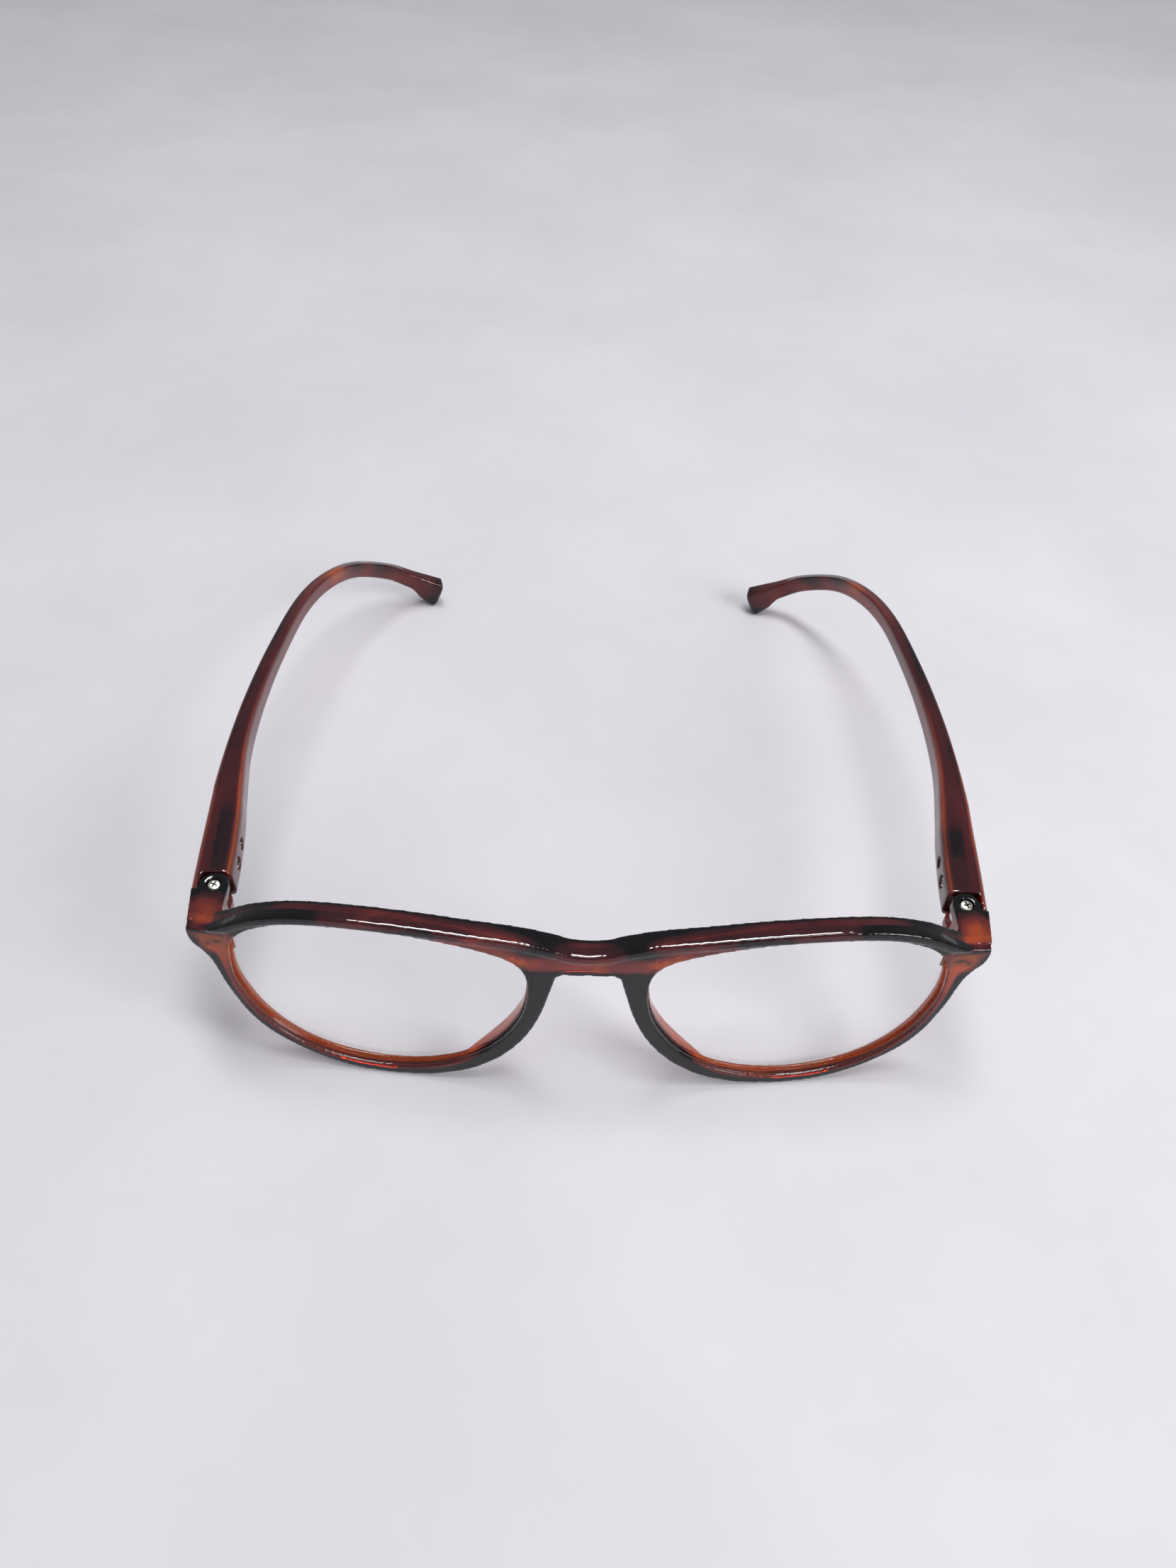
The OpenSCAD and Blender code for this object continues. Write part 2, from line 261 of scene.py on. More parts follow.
def hinge_matrix(sign):
    return (
        Matrix.Translation((sign * HINGE[0], HINGE[1], HINGE[2]))
        @ Matrix.Rotation(HINGE_TILT, 4, "Y")
        @ Matrix.Diagonal((sign, 1, 1, 1))
    )


def link_matrix(sign):
    return hinge_matrix(sign) @ Matrix.Rotation(-TEMPLE_SPLAY, 4, "Z")


def front_matrix():
    return (
        Matrix.Translation(FRONT_PIVOT)
        @ Matrix.Rotation(-FRONT_LEAN, 4, "X")
        @ Matrix.Translation((0, 0, -END_TOP))
    )


def in_frame(points, matrix):
    """The points as seen in the frame that the matrix places."""
    inverse = np.array(matrix.inverted())
    return points @ inverse[:3, :3].T + inverse[:3, 3]


def in_front_frame(points):
    """The points in the front's own frame, and their depths behind the curved face of the front."""
    own = in_frame(points, front_matrix())
    return own, own[:, 1] - own[:, 0] ** 2 / (2 * WRAP_RADIUS)


# ---------------------------------------------------------------- node helpers


def new_material(name):
    material = bpy.data.materials.new(name)
    material.use_nodes = True
    nodes = material.node_tree.nodes
    nodes.clear()
    return material, nodes, material.node_tree.links


def node(nodes, kind, **values):
    """New node. A value goes to the node's own property of that name, or else to its socket of that name."""
    made = nodes.new(kind)
    for key, value in values.items():
        if hasattr(made, key):
            setattr(made, key, value)
        else:
            made.inputs[key.replace("_", " ")].default_value = value
    return made


def ramp(nodes, stops):
    made = nodes.new("ShaderNodeValToRGB")
    made.color_ramp.interpolation = "EASE"
    elements = made.color_ramp.elements
    while len(elements) > 1:
        elements.remove(elements[-1])
    elements[0].position, elements[0].color = stops[0][0], (*stops[0][1], 1)
    for place, colour in stops[1:]:
        elements.new(place).color = (*colour, 1)
    return made


AMBER = (0.80, 0.165, 0.042)
CHERRY = (0.27, 0.055, 0.045)
MAROON = (0.085, 0.017, 0.024)
INK = (0.0001, 0.0006, 0.0030)
# The plastic's colour by the sum of its dye, painted shade and painted glow, and its noise.
DYE_STOPS = ((0.30, AMBER), (0.60, CHERRY), (0.82, MAROON), (0.98, INK))
NOISE_SHARE = 0.5


def tortoise_plastic(name, stretch):
    """Glossy see-through plastic that runs from amber through cherry and maroon to ink.

    The vertex attribute read here says how much dark dye there is, with painted shade added and painted glow
    taken off, from 0 to 1, and noise breaks up its edges.
    """
    material, nodes, links = new_material(name)
    out = nodes.new("ShaderNodeOutputMaterial")
    surface = node(nodes, "ShaderNodeBsdfPrincipled", Roughness=0.05, IOR=1.49)
    surface.inputs["Transmission Weight"].default_value = 0.7
    where = nodes.new("ShaderNodeTexCoord")
    scaled = node(nodes, "ShaderNodeMapping")
    scaled.inputs["Scale"].default_value = stretch
    links.new(where.outputs["Object"], scaled.inputs["Vector"])

    dye_and_painted_light = node(nodes, "ShaderNodeAttribute", attribute_name="dye_and_painted_light")
    cloud = node(nodes, "ShaderNodeTexNoise", Scale=110.0, Detail=4.0, Roughness=0.6, Distortion=1.0)
    links.new(scaled.outputs["Vector"], cloud.inputs["Vector"])
    ragged = node(nodes, "ShaderNodeMath", operation="MULTIPLY_ADD")
    links.new(cloud.outputs["Fac"], ragged.inputs[0])
    ragged.inputs[1].default_value = NOISE_SHARE
    links.new(dye_and_painted_light.outputs["Fac"], ragged.inputs[2])
    colour = ramp(nodes, DYE_STOPS)
    links.new(ragged.outputs["Value"], colour.inputs["Fac"])
    links.new(colour.outputs["Color"], surface.inputs["Base Color"])

    ripple = node(nodes, "ShaderNodeTexNoise", Scale=420.0, Detail=2.0)
    links.new(scaled.outputs["Vector"], ripple.inputs["Vector"])
    bump = node(nodes, "ShaderNodeBump", Strength=0.12, Distance=0.0002)
    links.new(ripple.outputs["Fac"], bump.inputs["Height"])
    links.new(bump.outputs["Normal"], surface.inputs["Normal"])
    links.new(surface.outputs["BSDF"], out.inputs["Surface"])

    depth = node(nodes, "ShaderNodeVolumeAbsorption", Density=1000.0)
    depth.inputs["Color"].default_value = (0.93, 0.55, 0.40, 1)
    links.new(depth.outputs["Volume"], out.inputs["Volume"])
    return material


def clear_lens(name):
    """Clear glass with a faint uneven film."""
    material, nodes, links = new_material(name)
    out = nodes.new("ShaderNodeOutputMaterial")
    surface = node(nodes, "ShaderNodeBsdfPrincipled", Roughness=0.0, IOR=1.5)
    surface.inputs["Transmission Weight"].default_value = 1.0
    where = nodes.new("ShaderNodeTexCoord")
    film = node(nodes, "ShaderNodeTexNoise", Scale=60.0, Detail=3.0)
    links.new(where.outputs["Object"], film.inputs["Vector"])
    tint = ramp(nodes, [(0.3, (0.985, 0.985, 0.99)), (0.7, (0.96, 0.965, 0.97))])
    links.new(film.outputs["Fac"], tint.inputs["Fac"])
    links.new(tint.outputs["Color"], surface.inputs["Base Color"])
    links.new(surface.outputs["BSDF"], out.inputs["Surface"])
    return material


def metal(name, colour, worn, roughness):
    """Plated metal: fine scratches, a slightly tarnished tone in patches, and painted shade, near black,
    where the attribute read here is 1.
    """
    material, nodes, links = new_material(name)
    out = nodes.new("ShaderNodeOutputMaterial")
    surface = node(nodes, "ShaderNodeBsdfPrincipled", Metallic=1.0)
    where = nodes.new("ShaderNodeTexCoord")
    tarnish = node(nodes, "ShaderNodeTexNoise", Scale=500.0, Detail=4.0)
    links.new(where.outputs["Object"], tarnish.inputs["Vector"])
    tone = ramp(nodes, [(0.4, colour), (0.68, worn)])
    links.new(tarnish.outputs["Fac"], tone.inputs["Fac"])
    dye_and_painted_light = node(nodes, "ShaderNodeAttribute", attribute_name="dye_and_painted_light")
    # Painted shade: mixed to near black in the screws' cross recesses.
    recess_shade = node(nodes, "ShaderNodeMix", data_type="RGBA")
    links.new(dye_and_painted_light.outputs["Fac"], recess_shade.inputs["Factor"])
    links.new(tone.outputs["Color"], recess_shade.inputs["A"])
    recess_shade.inputs["B"].default_value = (0.03, 0.028, 0.025, 1)
    links.new(recess_shade.outputs["Result"], surface.inputs["Base Color"])
    scratch = node(nodes, "ShaderNodeTexNoise", Scale=900.0, Detail=5.0)
    squeeze = node(nodes, "ShaderNodeMapping")
    squeeze.inputs["Scale"].default_value = (1, 6, 1)
    links.new(where.outputs["Object"], squeeze.inputs["Vector"])
    links.new(squeeze.outputs["Vector"], scratch.inputs["Vector"])
    gloss = node(nodes, "ShaderNodeMapRange")
    gloss.inputs["To Min"].default_value = roughness * 0.7
    gloss.inputs["To Max"].default_value = roughness * 1.4
    links.new(scratch.outputs["Fac"], gloss.inputs["Value"])
    links.new(gloss.outputs["Result"], surface.inputs["Roughness"])
    bump = node(nodes, "ShaderNodeBump", Strength=0.15, Distance=0.00003)
    links.new(scratch.outputs["Fac"], bump.inputs["Height"])
    links.new(bump.outputs["Normal"], surface.inputs["Normal"])
    links.new(surface.outputs["BSDF"], out.inputs["Surface"])
    return material


def paper_floor(name):
    """Matt, faintly mottled paper."""
    material, nodes, links = new_material(name)
    out = nodes.new("ShaderNodeOutputMaterial")
    surface = node(nodes, "ShaderNodeBsdfPrincipled", Roughness=0.75)
    surface.inputs["Specular IOR Level"].default_value = 0.0
    where = nodes.new("ShaderNodeTexCoord")
    mottle = node(nodes, "ShaderNodeTexNoise", Scale=9.0, Detail=5.0, Roughness=0.6)
    links.new(where.outputs["Object"], mottle.inputs["Vector"])
    tone = ramp(nodes, [(0.3, (0.66, 0.645, 0.685)), (0.7, (0.72, 0.705, 0.735))])
    links.new(mottle.outputs["Fac"], tone.inputs["Fac"])
    links.new(tone.outputs["Color"], surface.inputs["Base Color"])
    links.new(surface.outputs["BSDF"], out.inputs["Surface"])
    return material


def store_dye_and_painted_light(piece, values):
    """Stores the amount of dye at each point, with painted shade added and painted glow taken off, for the
    shaders.
    """
    layer = piece.data.attributes.new("dye_and_painted_light", "FLOAT", "POINT")
    layer.data.foreach_set("value", np.clip(values, 0, 1).astype(np.float32))


def patches(points, spots):
    """Sum of soft ellipsoids at the points. A spot is (centre, radii, strength)."""
    total = np.zeros(len(points))
    for centre, radii, strength in spots:
        reach = (((points - np.array(centre)) / np.array(radii)) ** 2).sum(axis=1)
        total += strength * np.exp(-reach)
    return total


def fade(value, start, end):
    """0 before start and 1 past end, or the other way round when start is the larger."""
    t = np.clip((value - start) / (end - start), 0, 1)
    return t * t * (3 - 2 * t)


def ridge(value, middle, width):
    """1 at the middle, falling off smoothly on both sides."""
    return np.exp(-(((value - middle) / width) ** 2))


def distance_to(points, line):
    """Distance of flat points to a line of straight pieces."""
    best = np.full(len(points), np.inf)
    for a, b in zip(line[:-1], line[1:], strict=True):
        step = b - a
        t = np.clip(((points - a) @ step) / (step @ step), 0, 1)
        best = np.minimum(best, np.linalg.norm(points - a - t[:, None] * step, axis=1))
    return best


# ---------------------------------------------------------------- front

# Half of the rims' outer edge, and one lens opening: x outward and height in the front's own frame.
RIM_EDGE = [
    (5.7, 30.9), (6.9, 26), (8.4, 20.3), (10.9, 14.2), (14.5, 8.9), (18.8, 4.9), (23.3, 2.4), (28.4, 0.7),
    (34, 0.1), (39, 0.1), (44.5, 0.8), (50, 2.7), (54.6, 5.2), (59, 8.6), (62, 12.4), (64, 16.4),
    (65.5, 20.6), (66.3, 23.9), (67.1, 26.7), (68.3, 28.8), (69.9, 30.6), (70.5, 32.5),
]
LENS_OPENING = [
    (60.9, 34.7), (57, 37.2), (51.6, 38.9), (43.6, 39.6), (34.8, 39.5), (27.4, 38.7), (20.4, 37.2),
    (15, 35.3), (11.9, 32.9), (10.6, 29.4), (10.6, 24.2), (11.6, 19.4), (13.8, 14.7), (17.1, 10.2),
    (21.2, 6.6), (26, 4.0), (32, 2.3), (38.6, 1.9), (45.2, 2.8), (51.2, 4.9), (56, 8.1), (59.8, 12.4),
    (62.3, 17.4), (63.6, 22.2), (63.7, 27), (63, 31.4),
]

# Foot of the moulding along the brow: x outward and height.
BROW_FOOT = [
    (0, 34.9), (3.4, 35.3), (6.8, 36.5), (12.4, 37.8), (20, 38.7), (28, 39.6), (36, 40.1), (44.5, 40.2),
    (50.6, 39.7), (55.4, 38.6), (59.4, 37.1), (63.2, 34.9), (66.4, 34.4),
]

# Dye of the plain plastic and of the rims' inner walls, and the depths of the lines of painted shade round
# those walls at the lens groove.
FRONT_PLAIN = 0.42
INNER_WALL = 0.05
GROOVE_SHADE_LINES = (0.75, 1.25, 1.95)
GROOVE_SHADE_WIDTH = 0.16

# The dark band on each rim, by x outward: the share of the rim's width where it starts, and its top.
BAND_START = ((15, -0.3), (24, 0.2), (45, 0.25), (58, 0.3), (66, 0.4))
BAND_EDGE = 0.18
BAND_TOP = ((10, 33.5), (20, 33), (58, 21), (66, 30))
BAND_FADE = 2.5

FRONT_DYE_AND_GLOW = [
    # (x outward, depth behind the front face, height) in the front's own frame, radii, strength
    ((9.5, 3.4, 39.2), (6.5, 1.7, 2.4), 0.7),
    ((9.5, 0.2, 37.4), (3.4, 1.3, 1.2), 0.6),
    ((30.5, 0.0, 40.0), (6, 1.1, 1.3), 0.55),
    ((20, 0.8, 38.9), (7, 1.6, 1.3), -0.35),
    ((17, 0.2, 36.6), (4, 1.2, 1.6), -0.3),
    ((38, 0.1, 40.1), (8, 0.9, 0.7), -0.2),
    ((0, 0.0, 33.4), (7, 1.6, 1.8), -0.22),
    ((13.5, 0.2, 34.8), (3.5, 1.4, 1.6), -0.32),
    # Painted glow: the next patch is lighter, for light scattered through the end-piece's plastic.
    ((66.0, 0.2, 31.4), (3.2, 3.0, 3.0), -0.42),
    ((65.4, 0.0, 32.0), (1.1, 0.6, 0.45), 0.6),
    ((66.9, 0.0, 31.2), (0.5, 0.6, 0.5), 0.5),
    ((70.6, 1.0, 30.4), (1.7, 3.0, 2.4), 1.0),
    ((67.8, 0.3, 34.0), (3.4, 1.0, 0.36), 0.7),
    ((64.8, 0.3, 26), (1.5, 1.6, 5), -0.2),
]
LUG_DYE_AND_GLOW = [
    # in the hinge's frame
    ((0.0, 1.2, 3.2), (3.0, 2.0, 2.2), 0.5),
    ((3.4, -0.8, 2.0), (1.2, 1.6, 3.4), 0.5),
    # Painted glow: the next patch is lighter, for light scattered through the end-piece.
    ((0.4, -5.2, 3.2), (4.2, 3.8, 3.0), -0.42),
]


def front_dye_and_painted_light(points):
    """Dark band on the outer part of each rim's front face, amber inner walls and a patchy brow, with painted
    shade and glow.
    """
    own, depth = in_front_frame(points)
    own[:, 0] = np.abs(own[:, 0])
    x, z = own[:, 0], own[:, 2]
    flat = own[:, [0, 2]]
    opening = smooth_curve(LENS_OPENING, 4, closed=True)
    inner = distance_to(flat, np.vstack([opening, opening[:1]]))
    outer = distance_to(flat, smooth_curve(RIM_EDGE, 3))
    dye_and_painted_light = np.full(len(points), FRONT_PLAIN)
    wall = fade(inner, 0.9, 0.3) * fade(depth, 0.2, 0.7)
    dye_and_painted_light += (INNER_WALL - dye_and_painted_light) * wall
    # Painted shade: dark lines round the inner walls, where the lens groove is shaded.
    for line in GROOVE_SHADE_LINES:
        dye_and_painted_light += 0.6 * wall * ridge(depth, line, GROOVE_SHADE_WIDTH)
    share = inner / (inner + outer)
    start = np.interp(x, *np.transpose(BAND_START))
    top = np.interp(x, *np.transpose(BAND_TOP))
    band = fade(share, start, start + BAND_EDGE) * fade(depth, 2.8, 2.0) * fade(z, top, top - BAND_FADE)
    dye_and_painted_light += 0.75 * band
    brow = fade(z, 34.5, 36)
    # Painted shade: the brow's top face and rear edge are painted darker.
    shaded_brow_top = brow * fade(depth, 2.7, 3.2)
    outer_brow = fade(x, 43, 52) * fade(depth, 1.7, 1.0) * fade(z, 34.2, 34.9)
    outer_brow_top = fade(x, 50, 56) * fade(x, 66.2, 65.2) * fade(z, 34.8, 35.4)
    dye_and_painted_light += 0.12 * brow + 0.3 * shaded_brow_top + 0.48 * outer_brow + 0.12 * outer_brow_top
    own[:, 1] = depth
    dye_and_painted_light += patches(own, FRONT_DYE_AND_GLOW)
    for _, sign in SIDES:
        near = in_frame(points, hinge_matrix(sign))
        dye_and_painted_light += patches(near, LUG_DYE_AND_GLOW)
        # Painted shade: each screw's counterbore is darkened as though shade fills it.
        counterbore_shade = fade(np.hypot(near[:, 0], near[:, 1]), 1.6, 1.4) * fade(near[:, 2], 2.0, 2.4)
        dye_and_painted_light += counterbore_shade
    return dye_and_painted_light


def make_front(material):
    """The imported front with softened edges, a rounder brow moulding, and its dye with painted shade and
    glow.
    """
    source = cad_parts["front_frame"]
    piece = bpy.data.objects.new("tortoise_front", source.data.copy())
    bpy.context.scene.collection.objects.link(piece)
    piece.data.transform(Matrix.Scale(1 / MM, 4))
    weld = bmesh.new()
    weld.from_mesh(piece.data)
    bmesh.ops.remove_doubles(weld, verts=weld.verts, dist=1e-4)
    weld.to_mesh(piece.data)
    weld.free()
    moulded(piece, rounds=7)
    own, depth = in_front_frame(points_of(piece))
    x = np.abs(own[:, 0])
    above = own[:, 2] - np.interp(x, *np.transpose(BROW_FOOT))
    brow_moulding = fade(depth, 1.5, 0.9) * fade(above, -0.8, 0.2)
    rounded(piece, brow_moulding, rounds=24)
    away_from_hinges = fade(own[:, 1], 6.5, 4.5) * fade(x, 64.5, 62.5)
    grown(piece, GROWTH * away_from_hinges)
    store_dye_and_painted_light(piece, front_dye_and_painted_light(points_of(piece)))
    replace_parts(piece, "front_frame")
    return finished(piece, material, "front")


# ---------------------------------------------------------------- lenses

# Middle and half size of the lens opening, and how far the lens reaches past it into the groove.
LENS_MIDDLE = np.array([37.2, 20.8])
LENS_HALF = np.array([26.5, 18.8])
LENS_LIP = 0.52
LENS_RADIUS = 240.0
LENS_INSET = 0.4
LENS_THICKNESS = 1.3
LENS_BEVEL = 0.12

# Sizes of the rings on each face of the lens, as shares of the lens.
LENS_RINGS = 14
RING_SHARES = [0.02] + [k / LENS_RINGS for k in range(1, LENS_RINGS)] + [0.985, 0.996]


def make_lens(name, sign, material):
    """Curved clear lens: rings of points from the middle to the bevelled edge, front and back."""
    grow = (LENS_HALF + LENS_LIP) / LENS_HALF
    edge = LENS_MIDDLE + (smooth_curve(LENS_OPENING, 6, closed=True) - LENS_MIDDLE) * grow
    turn = math.asin(LENS_MIDDLE[0] / WRAP_RADIUS)
    to_centre = WRAP_RADIUS - LENS_RADIUS
    centre = np.array([math.sin(turn) * to_centre, WRAP_RADIUS - math.cos(turn) * to_centre, LENS_MIDDLE[1]])

    def ring(share, radius):
        flat = LENS_MIDDLE + (edge - LENS_MIDDLE) * share
        x, z = flat[:, 0], flat[:, 1]
        y = centre[1] - np.sqrt(radius**2 - (x - centre[0]) ** 2 - (z - centre[2]) ** 2)
        return np.stack([x, y, z], axis=1)

    outer = LENS_RADIUS - LENS_INSET
    inner = outer - LENS_THICKNESS
    rings = [ring(s, outer) for s in RING_SHARES]
    rings += [ring(1.0, outer - LENS_BEVEL), ring(1.0, inner + LENS_BEVEL)]
    rings += [ring(s, inner) for s in reversed(RING_SHARES)]
    piece = skin(name, rings)
    placed(piece, front_matrix() @ Matrix.Diagonal((sign, 1, 1, 1)))
    outward(piece)
    piece.visible_shadow = False
    piece.visible_diffuse = False
    return finished(piece, material, "front", angle=50)


# ---------------------------------------------------------------- temples

# The upper outer edge from the hinge to the ear end: x, y, z, then the width and height there.
TEMPLE_EDGE = [
    (71.6, 8.0, 34.5, 6.8, 7.0), (72.4, 18, 34.5, 7.0, 7.0), (73.1, 28, 34.4, 6.5, 6.8),
    (73.6, 36, 34.3, 5.6, 6.4), (73.7, 48, 34.1, 4.1, 5.7), (73.2, 62, 33.8, 3.4, 4.9),
    (71.9, 78, 33.1, 3.0, 4.3), (69.8, 97, 31.1, 2.8, 3.8), (66.7, 112, 27.3, 2.8, 3.6),
    (62.0, 124.6, 21.7, 2.8, 3.6), (54.7, 134.2, 14.4, 2.9, 3.8), (48.8, 137.2, 10, 3.1, 4.1),
    (45.6, 138.2, 8.3, 3.6, 6.0), (42.1, 138.9, 6.7, 4.0, 7.35),
]
# Scale and advance of the rings that round the end.
TIP_STEPS = ((0.97, 0.22), (0.9, 0.5), (0.78, 0.8), (0.5, 1.05))
TEMPLE_SIDES = 40
CORNER_POWER = 0.38

TEMPLE_PLAIN = 0.44
TEMPLE_DYE = [
    # distance from the hinge end, reach, side (1 is the outer side), level (1 is the top), strength
    (75, 14, 0.6, 0.8, 0.08),
    (107, 5, -0.4, 0.5, -0.45),
    (116, 3.5, 0.3, 0.8, 0.7),
    (121, 2, 0.0, 0.5, -0.25),
    (126, 2.5, 0.0, 0.8, 0.6),
    (147, 4, 0.0, 0.3, 0.22),
    (149, 4, -0.3, -0.9, 0.8),
]
SPOT_WIDTH, SPOT_HEIGHT = 0.9, 1.2
# Where the painted shade in and over the cavity starts behind the hinge.
CAVITY_SHADE_FROM = {"left": 3.0, "right": 10.5}
# Points are looked up in batches to save memory.
SEARCH_BATCH = 20000

# The temple's front end, in the hinge's frame. FAR is clear of the temple on every side.
BUTT_Y, CHEEK_X, CHEEK_FRONT = 2.75, 2.75, -1.0
FAR = 12

# The spring's cavity, the guide block's rear face and the round cuts in the inner face, in the link's frame.
CAVITY_HALF, CAVITY_END = 1.65, 18.6
BLOCK_BACK = 8.6
RETAINER_Y, RECESS_Y = 7.5, 12.2
RETAINER_SEAT = 2.2
# radius, and distances from the link's axis where the cut starts and ends
RETAINER_SEAT_CUT = (1.3, RETAINER_SEAT, 8)
RETAINER_HOLE_CUT = (0.56, 1.0, 8)
RECESS_CUT = (1.2, 2.2, 6)


def temple_rings():
    """Centre, outward and upward directions, half width and half height of each ring."""
    edge = smooth_curve(TEMPLE_EDGE, 12)
    along = np.gradient(edge[:, :3], axis=0)
    along /= np.linalg.norm(along, axis=1)[:, None]
    out = np.stack([along[:, 1], -along[:, 0], np.zeros(len(edge))], axis=1)
    out /= np.linalg.norm(out, axis=1)[:, None]
    up = np.cross(out, along)
    half = edge[:, 3:] / 2
    middle = edge[:, :3] - out * half[:, :1] - up * half[:, 1:]
    middle[:, 1] -= FOOTPRINT_Y
    return middle, out, up, half


def squared(v):
    """Turns a sine or cosine into that of a square with rounded corners."""
    return np.sign(v) * np.abs(v) ** CORNER_POWER


def temple_dye_and_painted_shade(points, side, sign):
    """Dark dye along the temple: a line on the outer top edge, and patches that change along its length, with
    painted shade in and over the cavity.
    """
    middle, out, up, half = temple_rings()
    own = points * np.array([sign, 1, 1])
    length = np.concatenate([[0], np.cumsum(np.linalg.norm(np.diff(middle, axis=0), axis=1))])
    nearest = np.empty(len(own), int)
    for start in range(0, len(own), SEARCH_BATCH):
        batch = slice(start, start + SEARCH_BATCH)
        nearest[batch] = ((own[batch, None] - middle[None]) ** 2).sum(axis=2).argmin(axis=1)
    offset = own - middle[nearest]
    across = (offset * out[nearest]).sum(axis=1) / half[nearest, 0]
    rise = (offset * up[nearest]).sum(axis=1) / half[nearest, 1]
    run = length[nearest]
    top_middle = fade(run, 100, 70) * fade(np.abs(across), 0.85, 0.5)
    top_edges = fade(run, 70, 30) * ridge(np.abs(across), 0.82, 0.1) * fade(rise, 0.5, 0.9)
    outer_edge = fade(across, 0.75, 1.0) * fade(rise, -0.2, 0.4)
    dye_and_painted_light = TEMPLE_PLAIN + 0.12 * top_middle - 0.35 * top_edges + 0.5 * outer_edge
    for place, reach, across_at, rise_at, strength in TEMPLE_DYE:
        section = ridge(across, across_at, SPOT_WIDTH) * ridge(rise, rise_at, SPOT_HEIGHT)
        dye_and_painted_light += strength * ridge(run, place, reach) * section
    # Painted shade: the cavity's lower walls and a strip of the top above it are darkened, as if shade filled
    # the cavity.
    near = in_frame(points, link_matrix(sign))
    inside = np.maximum(np.abs(near[:, 0]), np.abs(near[:, 2])) - CAVITY_HALF
    cavity_wall_shade = fade(inside, 0.5, 0.25) * fade(near[:, 1], CAVITY_END + 0.6, CAVITY_END + 0.3)
    shade_from = CAVITY_SHADE_FROM[side]
    cavity_shade_strip = fade(np.abs(near[:, 0]), 1.5, 1.1) * fade(near[:, 1], shade_from, shade_from + 0.8)
    dye_and_painted_light += cavity_wall_shade * cavity_shade_strip * np.where(near[:, 2] < 0, 0.6, 0.04)
    cavity_shade_on_top = fade(run, 24, 20) * cavity_shade_strip * fade(rise, 0.8, 0.95)
    dye_and_painted_light += 0.09 * cavity_shade_on_top
    return dye_and_painted_light


def make_temple(name, side, sign, material):
    """Moulded temple with the cavity, screw seat and recess cut into it."""
    middle, out, up, half = temple_rings()
    angles = (np.arange(TEMPLE_SIDES) + 0.5) * 2 * math.pi / TEMPLE_SIDES
    rings = [
        m + np.outer(squared(np.cos(angles)) * h[0], o) + np.outer(squared(np.sin(angles)) * h[1], u)
        for m, o, u, h in zip(middle, out, up, half, strict=True)
    ]
    last, along = rings[-1], middle[-1] - middle[-2]
    along /= np.linalg.norm(along)
    rings += [middle[-1] + (last - middle[-1]) * size + along * ahead for size, ahead in TIP_STEPS]
    piece = skin(name, rings)
    placed(piece, Matrix.Diagonal((sign, 1, 1, 1)))
    outward(piece)
    hinge, link = hinge_matrix(sign), link_matrix(sign)
    tools = [
        placed(block((-FAR, -FAR, -FAR), (CHEEK_X, BUTT_Y, FAR)), hinge),
        placed(block((CHEEK_X - 0.01, -FAR, -FAR), (FAR, CHEEK_FRONT, FAR)), hinge),
        placed(block((-CAVITY_HALF, BUTT_Y - 1, -CAVITY_HALF), (CAVITY_HALF, CAVITY_END, CAVITY_HALF)), link),
        placed(across_cylinder(*RETAINER_SEAT_CUT, RETAINER_Y), link),
        placed(across_cylinder(*RETAINER_HOLE_CUT, RETAINER_Y), link),
        placed(across_cylinder(*RECESS_CUT, RECESS_Y), link),
    ]
    for tool in tools:
        outward(tool)
    cut(piece, tools)
    moulded(piece, rounds=6)
    behind_the_cavity = fade(points_of(piece)[:, 1] + FOOTPRINT_Y, 32, 36)
    grown(piece, 0.6 * GROWTH * behind_the_cavity)
    store_dye_and_painted_light(piece, temple_dye_and_painted_shade(points_of(piece), side, sign))
    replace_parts(piece, f"temple_{side}")
    return finished(piece, material, f"temple_{side}_body")


def across_cylinder(radius, start, end, y):
    """Cylinder that points inward across the temple, from start to end."""
    made = lathe("bore", [(radius, 0), (radius, end - start)], sides=32)
    turn = Matrix.Translation((-start, y, 0)) @ Matrix.Rotation(-math.pi / 2, 4, "Y")
    return placed(made, turn)


# ---------------------------------------------------------------- hardware


# Head radius, head height, shank radius and length of the screws.
HINGE_SCREW = (1.1, 0.85, 0.7, 6.2)
RETAINING_SCREW = (0.95, 0.5, 0.5, 1.9)
# Height of the hinge screw's top above the middle of the hinge.
HINGE_SCREW_TOP = 3.35

# The head's dome: shares of its radius, and drops below its top. The ends on the axis are tiny rings.
DOME = ((0.55, 0.01), (0.86, 0.05), (0.97, 0.13), (1.0, 0.22))
NEAR_AXIS = 0.02
CHAMFER = 0.05
THREAD_START, THREAD_PITCH, THREAD_DEPTH = 0.1, 0.3, 0.1

# The cross recess: half length and half width as shares of the head's radius, depth as a share of its height,
# and the length and width of its floor as shares of those at its top.
SLOT_LENGTH, SLOT_WIDTH, SLOT_DEPTH = 0.7, 0.15, 0.72
SLOT_FLOOR = (0.45, 0.5)
SLOT_TURN = 18
# How far the cutting wedges stand above the head, and how deep a face lies before it counts as recess.
SLOT_ABOVE = 0.05
SLOT_FROM = -0.07


